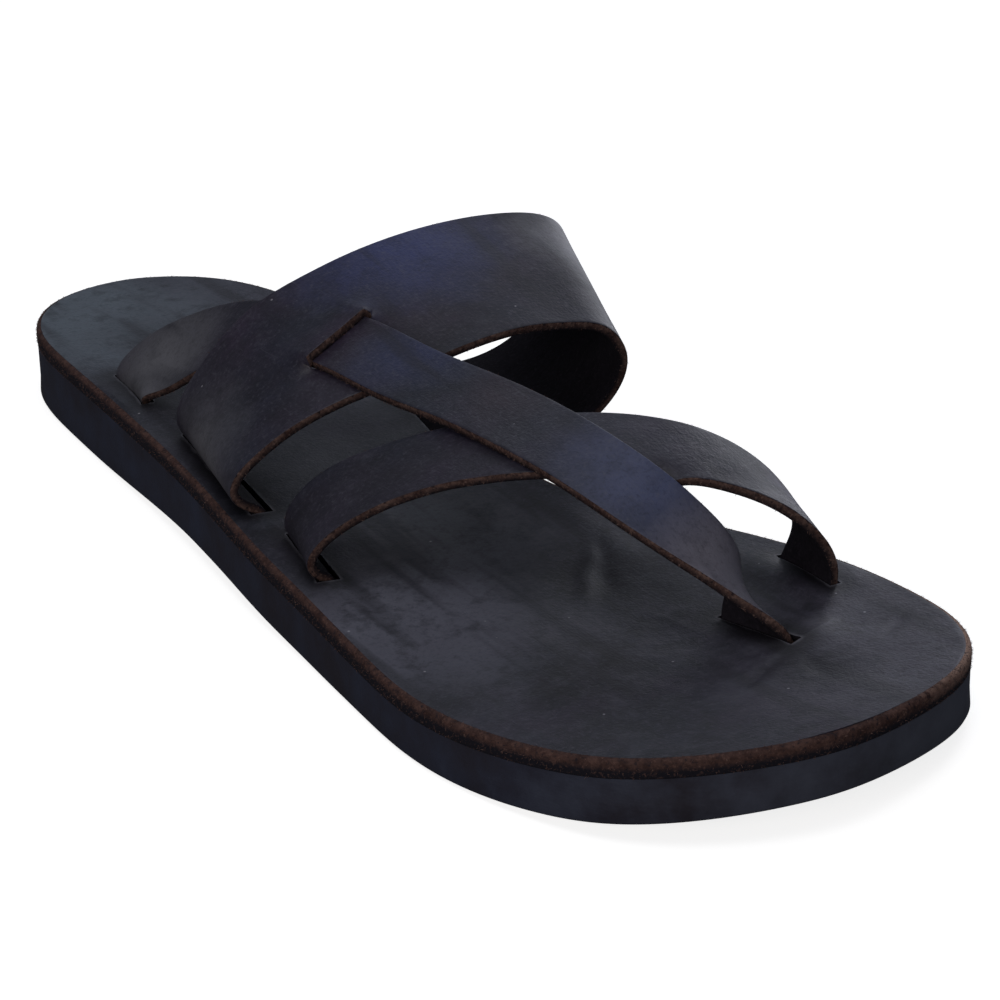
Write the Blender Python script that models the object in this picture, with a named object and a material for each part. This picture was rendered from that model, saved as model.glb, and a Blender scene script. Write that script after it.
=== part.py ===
"""Leather slide sandal with a crossed toe strap, right foot.

A rubber outsole, a leather footbed and an upper of three leather straps. The strap ends drop through
slots in the footbed and lie in shallow recesses in the outsole. +Z is up, the toe points along -Y, and
the inner (big toe) side of the foot is +X. The origin is under the middle of the object, on the floor.

Tables are in millimetres. "side" is measured across the foot from the middle of the heel, plus towards
the inner side; "heel" is measured forward from the back of the heel; "rise" is height above the floor.
"""
import math

import bmesh
import bpy
import numpy as np

MM = 0.001

# Driving dimensions, mm
LENGTH = 280.0            # heel to toe, about a size 42 to 43
FOOTBED_THICK = 3.5       # one layer of sole leather
STRAP_THICK = 1.8         # strap leather
GAP = 0.3                 # clearance between neighbouring pieces
ARCH_RISE = 2.1           # how far the waist of the outsole lifts off the floor
TOE_SPRING = 6.5          # lift of the outsole at the tip of the toe
RUBBER_INSET = 0.1        # the leather stands proud of the rubber by this much
RECESS_CLEARANCE = 0.3    # round a strap in its slot or recess

# Resolution
RIBS = 60                 # stations from heel to toe
STRAP_STEP = 2.4          # mm between two sections of a strap
STRAP_STRIPS = 4          # strips across the width of a strap

# Where the outsole leaves the floor and meets it again, mm from the heel
HEEL_FLAT_END = 60.0
WAIST_START, WAIST_END = 120.0, 130.0
BALL_FLAT_START, BALL_FLAT_END = 190.0, 222.0

# Plan of the sole: heel, outer side, inner side
OUTLINE = [
    (4, -12.5, 15), (14, -22.5, 24.8), (28, -28.2, 30.2), (46, -30.8, 32.8),
    (64, -32.4, 33.6), (82, -34, 32.5), (100, -35.7, 29.8), (119, -37.8, 26.4),
    (138, -40.3, 23), (156, -42.4, 22.3), (172, -43.6, 28), (188, -45, 38),
    (202, -46.4, 45.2), (217, -47.3, 50), (233, -45.7, 51.1), (248, -41.6, 49),
    (261, -35.3, 42.6), (272, -23.6, 29.9), (278.6, -9, 11.7),
]
HEEL_TIP_SIDE, TOE_TIP_SIDE = 1.8, 0.5

# Top of the footbed: heel, rise
FOOTBED_TOP = [
    (0, 15.5), (60, 16.5), (100, 16.3), (130, 15.6), (160, 14),
    (190, 12.2), (215, 11.6), (240, 12.6), (262, 15), (280, 18),
]

# Each strap is a ribbon. A row gives the middle of its thickness and width: side, heel, rise, then turn
# (degrees, how far its rear edge swings to the inner side), tilt (degrees, rear edge up) and width.
INSTEP_BAND = [
    (-14, 119.2, 11, 7, 1.5, 42), (-24.6, 119.3, 11, 7, 1.5, 42), (-28.8, 119.4, 12.8, 7.5, 1.5, 42),
    (-30.2, 119.4, 15.6, 8, 1.5, 42), (-32.1, 119.5, 17.4, 10, 1.6, 42), (-33.9, 119.8, 20.4, 12.8, 2.2, 42),
    (-33, 120.1, 24, 13.8, 3.2, 42), (-29.6, 120.9, 28.2, 12.6, 4, 42), (-20.7, 123.5, 36.1, 10.4, 8.6, 42),
    (-5.9, 127.1, 42.9, 7, 12.1, 42), (8.8, 129.3, 47, 5, 12.4, 42), (22.1, 130.8, 48.9, 6.4, 13, 42),
    (35.9, 132.2, 48.4, 11.8, 14.7, 42), (46.3, 133.7, 45.2, 18.2, 14, 42),
    (49.8, 132.9, 38.6, 16.6, 12.5, 42), (47.3, 130, 27.8, 16.8, 11, 42),
    (39.8, 126.3, 20.2, 18, 7, 42), (30.6, 122.8, 17.8, 16.4, 2.5, 42),
    (22.8, 120.4, 17.5, 13, 1.5, 42), (17.6, 119, 15.9, 11, 1.5, 42), (14.4, 118.4, 12.8, 10, 1.5, 42),
    (10.4, 117.9, 11.1, 9, 1.5, 42), (2, 117.2, 10.9, 8, 1.5, 42),
]
BALL_STRAP = [
    (-24, 161, 9.05, 8, 3, 20), (-30.6, 161.2, 9.15, 8, 3, 20), (-33.3, 161.5, 11.2, 8.5, 3, 20.1),
    (-34.2, 161.6, 13.8, 10, 3.4, 20.3), (-35.6, 161.9, 15.5, 13, 5, 20.5), (-36.4, 162.5, 18.5, 19, 8, 20.6),
    (-34.6, 163.6, 22.2, 24, 10.8, 20.5), (-26.9, 168.3, 28.5, 28.6, 11.4, 19.9),
    (-13, 178.7, 34.7, 36.6, 10.6, 19.5), (1.5, 191.5, 38.1, 39, 10.2, 19.6),
    (14.9, 202.2, 38.1, 37.4, 8, 19.6), (27.7, 210.6, 33.9, 32.2, 4.4, 18.4),
    (38.3, 215.2, 25, 25.6, -3.6, 18.2), (42, 217, 17.4, 14, -2.6, 16.2),
    (41.3, 217, 12.6, 1, -1, 15.2), (39.4, 217, 9, -5, 0, 15), (36.4, 217.3, 7.2, -7, 0, 15),
    (31, 218, 6.8, -8, 0, 15),
]
TOE_STRAP = [
    (-12, 69.2, 11.5, 5, 0, 19.4), (-19.6, 69.1, 11.5, 5, 0, 19.4), (-23.6, 69.1, 13.2, 5, 1, 19.4),
    (-25.2, 69.3, 16.4, 8, 3, 19.6), (-24.4, 71.9, 20.6, 23, 12.8, 20.2), (-20.3, 79.2, 25.8, 41.5, 28, 20),
    (-14.9, 95.3, 34.2, 60, 30, 17.8), (-10.9, 110, 38.4, 71, 26, 16.1),
    (-9.1, 123.8, 41.1, 79, 22, 15.5), (-8, 135.3, 42, 81.5, 20.5, 15.5),
    (-5.6, 149.2, 40.8, 81.5, 18.4, 15.8), (-2.5, 167.8, 40.5, 82.5, 15.4, 16),
    (-0.2, 187, 39.9, 83, 14, 16), (2, 206.1, 37.7, 78, 12.6, 15.7), (9.5, 221.1, 29.4, 59, 11, 15.8),
    (16.4, 228.9, 19, 28.5, -1, 15.2), (17.9, 231.1, 12.4, -10, -3, 15.2), (19.2, 231.5, 9.1, -16, -3, 15),
    (22, 232.1, 7.4, -16, -2.5, 15), (26, 233.2, 7.2, -16, -2.5, 15),
]

# How much of each strap end lies in its slot and recess, mm along the strap, and what it is cut into
STRAP_ENDS = [
    (INSTEP_BAND, 22.5, 23.5), (BALL_STRAP, 17.0, 15.5), (TOE_STRAP, 18.5, 14.4),
]

COLOURS = {
    "rubber": ((0.010, 0.012, 0.022), 0.62),
    "footbed leather": ((0.018, 0.020, 0.028), 0.50),
    "strap leather": ((0.022, 0.019, 0.034), 0.42),
}


def smooth_curve(knots, values):
    """A natural cubic spline through one row of values per knot; returns a function of the knot."""
    knots = np.asarray(knots, float)
    values = np.asarray(values, float)
    spans = np.diff(knots)
    count = len(knots)
    system = np.eye(count)
    right = np.zeros_like(values)
    for i in range(1, count - 1):
        before, after = spans[i - 1], spans[i]
        system[i, i - 1:i + 2] = before, 2 * (before + after), after
        right[i] = 6 * ((values[i + 1] - values[i]) / after - (values[i] - values[i - 1]) / before)
    bend = np.linalg.solve(system, right)

    def at(knot):
        i = int(np.clip(np.searchsorted(knots, knot) - 1, 0, count - 2))
        a = (knots[i + 1] - knot) / spans[i]
        b = 1 - a
        cubic = (a ** 3 - a) * bend[i] + (b ** 3 - b) * bend[i + 1]
        return a * values[i] + b * values[i + 1] + cubic * spans[i] ** 2 / 6

    return at


def ease(value, start, end):
    """0 before start, 1 after end, and a soft S between."""
    part = min(max((value - start) / (end - start), 0.0), 1.0)
    return part * part * (3 - 2 * part)


footbed_top = smooth_curve([row[0] for row in FOOTBED_TOP], [row[1] for row in FOOTBED_TOP])


def footbed_under(heel):
    return footbed_top(heel) - FOOTBED_THICK


def outsole_top(heel):
    return footbed_under(heel) - GAP


def outsole_under(heel):
    """Flat under heel and ball, lifted in the waist, and curving up to the toe."""
    waist = ease(heel, HEEL_FLAT_END, WAIST_START) * ease(heel, BALL_FLAT_START, WAIST_END)
    toe = max(heel - BALL_FLAT_END, 0) / (LENGTH - BALL_FLAT_END)
    return ARCH_RISE * waist + TOE_SPRING * toe ** 2.2


def around(heel):
    """The angle of a place round the sole: 0 at the back of the heel, pi at the tip of the toe."""
    return math.acos(1 - 2 * heel / LENGTH)


def make_outline():
    """Side as a smooth function of the angle: up the inner side to the toe and back down the outer."""
    turn = 2 * math.pi
    one_lap = [(0.0, HEEL_TIP_SIDE)]
    one_lap += [(around(heel), inner) for heel, outer, inner in OUTLINE]
    one_lap += [(math.pi, TOE_TIP_SIDE)]
    one_lap += [(turn - around(heel), outer) for heel, outer, inner in reversed(OUTLINE)]
    laps = [(angle + lap * turn, side) for lap in (-1, 0, 1) for angle, side in one_lap]
    return smooth_curve([angle for angle, side in laps], [side for angle, side in laps])


outline_side = make_outline()


def rim_point(angle, inset):
    """A point of the sole's edge, moved in by inset."""
    step = 1e-3
    across = (outline_side(angle + step) - outline_side(angle - step)) / (2 * step)
    along = LENGTH / 2 * math.sin(angle)
    length = math.hypot(across, along)
    side = outline_side(angle) - inset * along / length
    heel = LENGTH / 2 * (1 - math.cos(angle)) + inset * across / length
    return side, heel


def strap_section(values):
    """Middle and width direction of one section of a strap, in the tables' measures."""
    side, heel, rise, turn, tilt, width = values
    turn, tilt = math.radians(turn), math.radians(tilt)
    middle = np.array((side, heel, rise))
    rearward = np.array((math.sin(turn) * math.cos(tilt), -math.cos(turn) * math.cos(tilt), math.sin(tilt)))
    return middle, rearward, width


def strap_knots(rows):
    """How far along the strap each row lies, mm."""
    points = np.array([row[:3] for row in rows], float)
    return np.concatenate(([0.0], np.cumsum(np.linalg.norm(np.diff(points, axis=0), axis=1))))


def strap_stations(rows):
    """Even places along a strap where its sections stand, mm."""
    length = strap_knots(rows)[-1]
    return np.linspace(0, length, math.ceil(length / STRAP_STEP) + 1)


def ribbon_rings(rows, stations, clearance=0.0):
    """A ring of points round the strap at each station, fattened by clearance."""
    at = smooth_curve(strap_knots(rows), rows)
    half_thick = STRAP_THICK / 2 + clearance
    shares = [-1 + 2 * k / STRAP_STRIPS for k in range(STRAP_STRIPS + 1)]
    rings = []
    for where in stations:
        middle, rearward, width = strap_section(at(where))
        onward = strap_section(at(where + 0.1))[0] - strap_section(at(where - 0.1))[0]
        outward = np.cross(onward, rearward)
        outward *= half_thick / np.linalg.norm(outward)
        reach = rearward * (width / 2 + clearance)
        ring = [middle + reach * share + outward for share in shares]
        ring += [middle + reach * share - outward for share in reversed(shares)]
        rings.append(ring)
    return rings


def whole_strap(rows):
    return ribbon_rings(rows, strap_stations(rows))


RIM_ANGLES = [math.pi * i / RIBS for i in range(2 * RIBS)]
OUTER_REACH = min(map(outline_side, RIM_ANGLES))
INNER_REACH = max(point[0] for ring in whole_strap(INSTEP_BAND) for point in ring)
MID_SIDE = (OUTER_REACH + INNER_REACH) / 2


def place(side, heel, rise):
    """From the tables' measures to the object's own frame, in metres."""
    return ((side - MID_SIDE) * MM, (LENGTH / 2 - heel) * MM, rise * MM)


def finish_object(name, mesh_builder, material):
    """A new object from a bmesh, faces outwards, smooth on the flats and sharp at the edges."""
    bmesh.ops.recalc_face_normals(mesh_builder, faces=mesh_builder.faces)
    mesh = bpy.data.meshes.new(name)
    mesh_builder.to_mesh(mesh)
    mesh_builder.free()
    mesh.shade_smooth()
    mesh.set_sharp_from_angle(angle=math.radians(35))
    part = bpy.data.objects.new(name, mesh)
    bpy.context.scene.collection.objects.link(part)
    if material:
        mesh.materials.append(material)
    return part


def make_slab(name, levels, material):
    """A slab on the sole's outline: levels from the underside up, each an inset and a rise function."""
    builder = bmesh.new()
    rims = []
    for inset, rise_at in levels:
        rim = []
        for angle in RIM_ANGLES:
            side, heel = rim_point(angle, inset)
            rim.append(builder.verts.new(place(side, heel, rise_at(heel))))
        rims.append(rim)
    count = len(RIM_ANGLES)
    for lower, upper in zip(rims, rims[1:]):
        for i in range(count):
            j = (i + 1) % count
            builder.faces.new((lower[i], lower[j], upper[j], upper[i]))
    for rim in (rims[0], rims[-1]):
        builder.faces.new((rim[0], rim[1], rim[-1]))
        builder.faces.new((rim[RIBS], rim[RIBS - 1], rim[RIBS + 1]))
        for i in range(1, RIBS - 1):
            builder.faces.new((rim[i], rim[i + 1], rim[count - i - 1], rim[count - i]))
    return finish_object(name, builder, material)


def make_ribbon(name, rings, material=None):
    """A ribbon of strap leather skinned over its rings, closed at both ends."""
    builder = bmesh.new()
    sections = [[builder.verts.new(place(*point)) for point in ring] for ring in rings]
    count = len(sections[0])
    for near, far in zip(sections, sections[1:]):
        for i in range(count):
            j = (i + 1) % count
            builder.faces.new((near[i], near[j], far[j], far[i]))
    for ring in (sections[0], sections[-1]):
        for k in range(STRAP_STRIPS):
            builder.faces.new((ring[k], ring[k + 1], ring[count - k - 2], ring[count - k - 1]))
    return finish_object(name, builder, material)


def combine(target, tool, operation):
    """A live Boolean of target with tool, which stays as a hidden guide."""
    tool.hide_render = True
    tool.display_type = "WIRE"
    step = target.modifiers.new(f"{operation.lower()} {tool.name}", "BOOLEAN")
    step.operation = operation
    step.solver = "EXACT"
    step.object = tool


def make_material(name):
    colour, roughness = COLOURS[name]
    material = bpy.data.materials.new(name)
    material.use_nodes = True
    shader = material.node_tree.nodes["Principled BSDF"]
    shader.inputs["Base Color"].default_value = (*colour, 1)
    shader.inputs["Roughness"].default_value = roughness
    shader.inputs["Metallic"].default_value = 0
    return material


def above(rise_at, lift):
    return lambda heel: rise_at(heel) + lift


def make_outsole():
    """Smooth rubber, thicker under the heel than under the ball, with its edges just eased."""
    levels = [
        (RUBBER_INSET + 0.8, outsole_under), (RUBBER_INSET + 0.2, above(outsole_under, 0.3)),
        (RUBBER_INSET, above(outsole_under, 1.0)), (RUBBER_INSET, outsole_top),
    ]
    return make_slab("outsole", levels, make_material("rubber"))


def make_footbed():
    """One layer of leather with a rounded upper edge and slots for the straps."""
    levels = [
        (0.4, footbed_under), (0.0, above(footbed_under, 0.7)), (0.0, above(footbed_top, -1.1)),
        (0.35, above(footbed_top, -0.35)), (1.1, footbed_top),
    ]
    return make_slab("footbed", levels, make_material("footbed leather"))


def make_upper():
    """Three straps joined where they cross: the toe strap passes the band and lies on the ball strap."""
    leather = make_material("strap leather")
    upper = make_ribbon("upper", whole_strap(INSTEP_BAND), leather)
    for name, rows in (("ball_strap_form", BALL_STRAP), ("toe_strap_form", TOE_STRAP)):
        combine(upper, make_ribbon(name, whole_strap(rows), leather), "UNION")
    return upper


def cut_strap_ends(pieces):
    """Slots through the footbed and recesses in the outsole, from the straps' own ribbon."""
    overrun = RECESS_CLEARANCE + 0.2
    for number, (rows, first, last) in enumerate(STRAP_ENDS):
        stations = strap_stations(rows)
        length = stations[-1]
        near = [-overrun] + [where for where in stations if where <= first]
        far = [where for where in stations if where >= length - last] + [length + overrun]
        for end, buried in (("near", near), ("far", far)):
            cutter = make_ribbon(f"slot_{number}_{end}", ribbon_rings(rows, buried, RECESS_CLEARANCE))
            for piece in pieces:
                combine(piece, cutter, "DIFFERENCE")


for old in list(bpy.data.objects):
    bpy.data.objects.remove(old, do_unlink=True)

outsole = make_outsole()
footbed = make_footbed()
make_upper()
cut_strap_ends([footbed, outsole])
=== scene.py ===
# %% [markdown]
# # A leather slide sandal with a crossed toe strap
# The real thing is cut, not moulded: a slab of black rubber, one layer of vegetable-tanned leather glued on
# it, and three leather straps whose ends drop through slots in the leather and are caught between the two.
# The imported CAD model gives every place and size. It is loaded first and never moved. Each of its pieces is
# then stood in for by a finer one, so that edges, slots and surfaces carry the detail that leather has.

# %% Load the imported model
import math

import bmesh
import bpy
import numpy as np
from mathutils import Matrix, Vector, noise
from mathutils.bvhtree import BVHTree
from mathutils.kdtree import KDTree


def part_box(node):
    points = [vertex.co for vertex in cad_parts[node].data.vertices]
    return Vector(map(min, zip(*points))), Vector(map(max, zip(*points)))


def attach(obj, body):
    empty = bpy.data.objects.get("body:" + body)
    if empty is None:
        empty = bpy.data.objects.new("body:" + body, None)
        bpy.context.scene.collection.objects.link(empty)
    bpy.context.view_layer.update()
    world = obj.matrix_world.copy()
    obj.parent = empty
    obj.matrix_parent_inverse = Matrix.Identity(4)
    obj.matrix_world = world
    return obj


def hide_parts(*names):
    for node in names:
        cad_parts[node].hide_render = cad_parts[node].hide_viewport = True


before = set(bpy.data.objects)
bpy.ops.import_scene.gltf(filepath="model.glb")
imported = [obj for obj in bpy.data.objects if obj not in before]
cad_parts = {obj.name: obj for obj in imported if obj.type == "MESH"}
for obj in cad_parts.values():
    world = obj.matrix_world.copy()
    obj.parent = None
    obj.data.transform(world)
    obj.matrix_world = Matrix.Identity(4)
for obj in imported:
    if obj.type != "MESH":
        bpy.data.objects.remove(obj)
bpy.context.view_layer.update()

# %% [markdown]
# ## Helpers for materials
# Colours are written as sRGB hex, the way a paint program shows them, but the shader wants linear light.
# A node tree is wired by one function that adds a node, sets its options and fills or links its inputs.

# %% Colour and node helpers
def linear(code):
    """An sRGB hex colour as the linear colour that a shader expects."""
    channels = [int(code[i:i + 2], 16) / 255 for i in (1, 3, 5)]
    light = [c / 12.92 if c <= 0.04045 else ((c + 0.055) / 1.055) ** 2.4 for c in channels]
    return (*light, 1.0)


def fill(tree, node, inputs):
    """Inputs go by name or number; each is a value, another node's output, or a node for its first output."""
    for key, value in inputs.items():
        if isinstance(value, bpy.types.Node):
            value = value.outputs[0]
        if isinstance(value, bpy.types.NodeSocket):
            tree.links.new(value, node.inputs[key])
        else:
            node.inputs[key].default_value = value


def add_node(tree, kind, inputs=None, **settings):
    """One node, with its options set and its inputs filled."""
    node = tree.nodes.new(kind)
    for name, value in settings.items():
        setattr(node, name, value)
    fill(tree, node, inputs or {})
    return node


def per(millimetres):
    """The scale of a texture in metres whose features are this many millimetres across."""
    return 1000 / millimetres


print("mid grey in linear light:", round(linear("#808080")[0], 3))

# %% [markdown]
# ## The sandal's measures
# These are the CAD model's own driving measures, in millimetres: "side" across the foot, plus to the inner
# side; "heel" forward from the back of the heel; "rise" above the floor. A strap is a ribbon, and a row of
# its table gives the middle of one section: side, heel, rise, then the turn and tilt of its width, and its
# width. Splines through these rows give back the CAD surfaces at any fineness.

# %% Measures, mm
MM = 0.001
LENGTH = 280.0
FOOTBED_THICK = 3.5
STRAP_THICK = 1.8
GLUE = 0.04            # between the footbed and the rubber
ARCH_RISE = 2.1
TOE_SPRING = 6.5
RUBBER_INSET = 0.1
HEEL_FLAT_END = 60.0
WAIST_START, WAIST_END = 120.0, 130.0
BALL_FLAT_START, BALL_FLAT_END = 190.0, 222.0

OUTLINE = [      # heel, then side at the outer and at the inner edge
    (4, -12.5, 15), (14, -22.5, 24.8), (28, -28.2, 30.2), (46, -30.8, 32.8),
    (64, -32.4, 33.6), (82, -34, 32.5), (100, -35.7, 29.8), (119, -37.8, 26.4),
    (138, -40.3, 23), (156, -42.4, 22.3), (172, -43.6, 28), (188, -45, 38),
    (202, -46.4, 45.2), (217, -47.3, 50), (233, -45.7, 51.1), (248, -41.6, 49),
    (261, -35.3, 42.6), (272, -23.6, 29.9), (278.6, -9, 11.7),
]
HEEL_TIP_SIDE, TOE_TIP_SIDE = 1.8, 0.5

FOOTBED_TOP = [      # heel, rise
    (0, 15.5), (60, 16.5), (100, 16.3), (130, 15.6), (160, 14),
    (190, 12.2), (215, 11.6), (240, 12.6), (262, 15), (280, 18),
]

BAND_WIDTH, BALL_WIDTH, TOE_WIDTH = 42.0, 19.0, 15.5      # of the straps, over most of their length
INSTEP_BAND = [
    (-14, 119.2, 11, 7, 1.5, 42), (-24.6, 119.3, 11, 7, 1.5, 42), (-28.8, 119.4, 12.8, 7.5, 1.5, 42),
    (-30.2, 119.4, 15.6, 8, 1.5, 42), (-32.1, 119.5, 17.4, 10, 1.6, 42), (-33.9, 119.8, 20.4, 12.8, 2.2, 42),
    (-33, 120.1, 24, 13.8, 3.2, 42), (-29.6, 120.9, 28.2, 12.6, 4, 42), (-20.7, 123.5, 36.1, 10.4, 8.6, 42),
    (-5.9, 127.1, 42.9, 7, 12.1, 42), (8.8, 129.3, 47, 5, 12.4, 42), (22.1, 130.8, 48.9, 6.4, 13, 42),
    (35.9, 132.2, 48.4, 11.8, 14.7, 42), (46.3, 133.7, 45.2, 18.2, 14, 42),
    (49.8, 132.9, 38.6, 16.6, 12.5, 42), (47.3, 130, 27.8, 16.8, 11, 42),
    (39.8, 126.3, 20.2, 18, 7, 42), (30.6, 122.8, 17.8, 16.4, 2.5, 42),
    (22.8, 120.4, 17.5, 13, 1.5, 42), (17.6, 119, 15.9, 11, 1.5, 42), (14.4, 118.4, 12.8, 10, 1.5, 42),
    (10.4, 117.9, 11.1, 9, 1.5, 42), (2, 117.2, 10.9, 8, 1.5, 42),
]
BALL_STRAP = [
    (-24, 161, 9.05, 8, 3, 20), (-30.6, 161.2, 9.15, 8, 3, 20), (-33.3, 161.5, 11.2, 8.5, 3, 20.1),
    (-34.2, 161.6, 13.8, 10, 3.4, 20.3), (-35.6, 161.9, 15.5, 13, 5, 20.5), (-36.4, 162.5, 18.5, 19, 8, 20.6),
    (-34.6, 163.6, 22.2, 24, 10.8, 20.5), (-26.9, 168.3, 28.5, 28.6, 11.4, 19.9),
    (-13, 178.7, 34.7, 36.6, 10.6, 19.5), (1.5, 191.5, 38.1, 39, 10.2, 19.6),
    (14.9, 202.2, 38.1, 37.4, 8, 19.6), (27.7, 210.6, 33.9, 32.2, 4.4, 18.4),
    (38.3, 215.2, 25, 25.6, -3.6, 18.2), (42, 217, 17.4, 14, -2.6, 16.2),
    (41.3, 217, 12.6, 1, -1, 15.2), (39.4, 217, 9, -5, 0, 15), (36.4, 217.3, 7.2, -7, 0, 15),
    (31, 218, 6.8, -8, 0, 15),
]
TOE_STRAP = [
    (-12, 69.2, 11.5, 5, 0, 19.4), (-19.6, 69.1, 11.5, 5, 0, 19.4), (-23.6, 69.1, 13.2, 5, 1, 19.4),
    (-25.2, 69.3, 16.4, 8, 3, 19.6), (-24.4, 71.9, 20.6, 23, 12.8, 20.2), (-20.3, 79.2, 25.8, 41.5, 28, 20),
    (-14.9, 95.3, 34.2, 60, 30, 17.8), (-10.9, 110, 38.4, 71, 26, 16.1),
    (-9.1, 123.8, 41.1, 79, 22, 15.5), (-8, 135.3, 42, 81.5, 20.5, 15.5),
    (-5.6, 149.2, 40.8, 81.5, 18.4, 15.8), (-2.5, 167.8, 40.5, 82.5, 15.4, 16),
    (-0.2, 187, 39.9, 83, 14, 16), (2, 206.1, 37.7, 78, 12.6, 15.7), (9.5, 221.1, 29.4, 59, 11, 15.8),
    (16.4, 228.9, 19, 28.5, -1, 15.2), (17.9, 231.1, 12.4, -10, -3, 15.2), (19.2, 231.5, 9.1, -16, -3, 15),
    (22, 232.1, 7.4, -16, -2.5, 15), (26, 233.2, 7.2, -16, -2.5, 15),
]

# %% [markdown]
# ## Smooth curves
# A natural cubic spline bends like a thin batten held at a few pins, which is how a pattern maker draws a
# sole. One function makes such a curve through a table, and it is read at many places at once.

# %% Splines and soft steps
def smooth_curve(knots, values):
    """A natural cubic spline through one row of values per knot; the function it returns takes an array."""
    knots, values = np.asarray(knots, float), np.asarray(values, float)
    spans = np.diff(knots)
    system, pull = np.eye(len(knots)), np.zeros_like(values)
    for i in range(1, len(knots) - 1):
        before, after = spans[i - 1], spans[i]
        system[i, i - 1:i + 2] = before, 2 * (before + after), after
        pull[i] = 6 * ((values[i + 1] - values[i]) / after - (values[i] - values[i - 1]) / before)
    bend = np.linalg.solve(system, pull)

    def at(where):
        where = np.asarray(where, float)
        i = np.clip(np.searchsorted(knots, where) - 1, 0, len(knots) - 2)
        span, a = spans[i], (knots[i + 1] - where) / spans[i]
        if values.ndim == 2:
            span, a = span[..., None], a[..., None]
        b = 1 - a
        straight = a * values[i] + b * values[i + 1]
        return straight + ((a**3 - a) * bend[i] + (b**3 - b) * bend[i + 1]) * span**2 / 6

    return at


def ease(value, start, end):
    """0 before start, 1 after end, and a soft S between."""
    part = np.clip((np.asarray(value, float) - start) / (end - start), 0, 1)
    return part * part * (3 - 2 * part)


footbed_top = smooth_curve(*zip(*FOOTBED_TOP))


def outsole_under(heel):
    """The rise of the underside: flat under heel and ball, lifted in the waist, and curving up to the toe."""
    waist = ease(heel, HEEL_FLAT_END, WAIST_START) * ease(heel, BALL_FLAT_START, WAIST_END)
    toe = np.maximum(heel - BALL_FLAT_END, 0) / (LENGTH - BALL_FLAT_END)
    return ARCH_RISE * waist + TOE_SPRING * toe**2.2


print("footbed top at heel, waist, ball, toe:", footbed_top([0, 130, 215, 280]).round(1))

# %% [markdown]
# ## The plan of the sole
# The outline is read by an angle that runs once round the sole, so that the curve closes on itself and is
# as smooth at the two tips as along the sides. Moving a point inwards square to the edge gives a narrower
# outline, for rounded edges and for rubber that stands a little inside the leather.

# %% The outline
def around(heel):
    """The angle of a place round the sole: 0 at the back of the heel, pi at the tip of the toe."""
    return math.acos(1 - 2 * heel / LENGTH)


def make_outline():
    """Side as a smooth function of the angle: up the inner side to the toe and back down the outer."""
    turn = 2 * math.pi
    one_lap = [(0.0, HEEL_TIP_SIDE)] + [(around(heel), inner) for heel, outer, inner in OUTLINE]
    one_lap += [(math.pi, TOE_TIP_SIDE)]
    one_lap += [(turn - around(heel), outer) for heel, outer, inner in reversed(OUTLINE)]
    return smooth_curve(*zip(*[(angle + lap * turn, side) for lap in (-1, 0, 1) for angle, side in one_lap]))


outline_side = make_outline()


def rim_points(angles, inset):
    """Side and heel of the sole's edge at these angles, moved in by inset."""
    step = 1e-3
    across = (outline_side(angles + step) - outline_side(angles - step)) / (2 * step)
    along = LENGTH / 2 * np.sin(angles)
    length = np.hypot(across, along)
    heel = LENGTH / 2 * (1 - np.cos(angles))
    return outline_side(angles) - inset * along / length, heel + inset * across / length


footbed_low, footbed_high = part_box("footbed")
half_degrees = np.linspace(0, 2 * math.pi, 721)
MID_SIDE = outline_side(half_degrees).min() - footbed_low.x / MM
BACK_Y = footbed_high.y / MM


def in_frame(side, heel, rise):
    """From the tables' measures to the CAD frame, in metres: a last axis of x, y and z."""
    side, heel, rise = np.broadcast_arrays(side, heel, rise)
    return np.stack((side - MID_SIDE, BACK_Y - heel, rise), axis=-1) * MM


print(f"side 0 is {-MID_SIDE:.2f} mm off the model's middle; the back of the heel is at y {BACK_Y:.1f} mm")

# %% [markdown]
# ## The camera
# A catalogue view of a shoe is taken from a little above, with a long lens, so that the toe isn't blown up
# against the heel. A lens of 108 mm from half a metre does that. The camera is aimed by its heading, pitch
# and roll, like a surveyor's level, because angles can be measured, where a look-at point can't.

# %% Place the camera
CAMERA_PLACE = (-278.4, 616.6, 247.3)      # side, heel and rise, mm
CAMERA_HEADING, CAMERA_PITCH, CAMERA_ROLL = 32.21, 23.38, -1.24      # degrees

camera = bpy.data.objects.new("studio_camera", bpy.data.cameras.new("studio_camera"))
camera.data.lens = 108
camera.data.sensor_width = 36
heading, pitch, roll = map(math.radians, (CAMERA_HEADING, CAMERA_PITCH, CAMERA_ROLL))
level = Vector((math.cos(heading), -math.sin(heading), 0))
ahead = Vector((math.sin(heading), math.cos(heading), 0))
forward = ahead * math.cos(pitch) - Vector((0, 0, math.sin(pitch)))
upright = level.cross(forward)
right = level * math.cos(roll) + upright * math.sin(roll)
up = upright * math.cos(roll) - level * math.sin(roll)
camera.matrix_world = Matrix((right, up, -forward)).transposed().to_4x4()
camera.location = in_frame(*CAMERA_PLACE)
bpy.context.scene.collection.objects.link(camera)
bpy.context.scene.camera = camera
print("camera looks along", [round(v, 3) for v in forward])

# %% [markdown]
# ## Meshes from arrays
# Grids of points are worked out with numpy and handed to Blender once. Soft shading with sharp edges kept
# from an angle up is what a cut sheet needs: its face is smooth and its cut edge is crisp.

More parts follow.
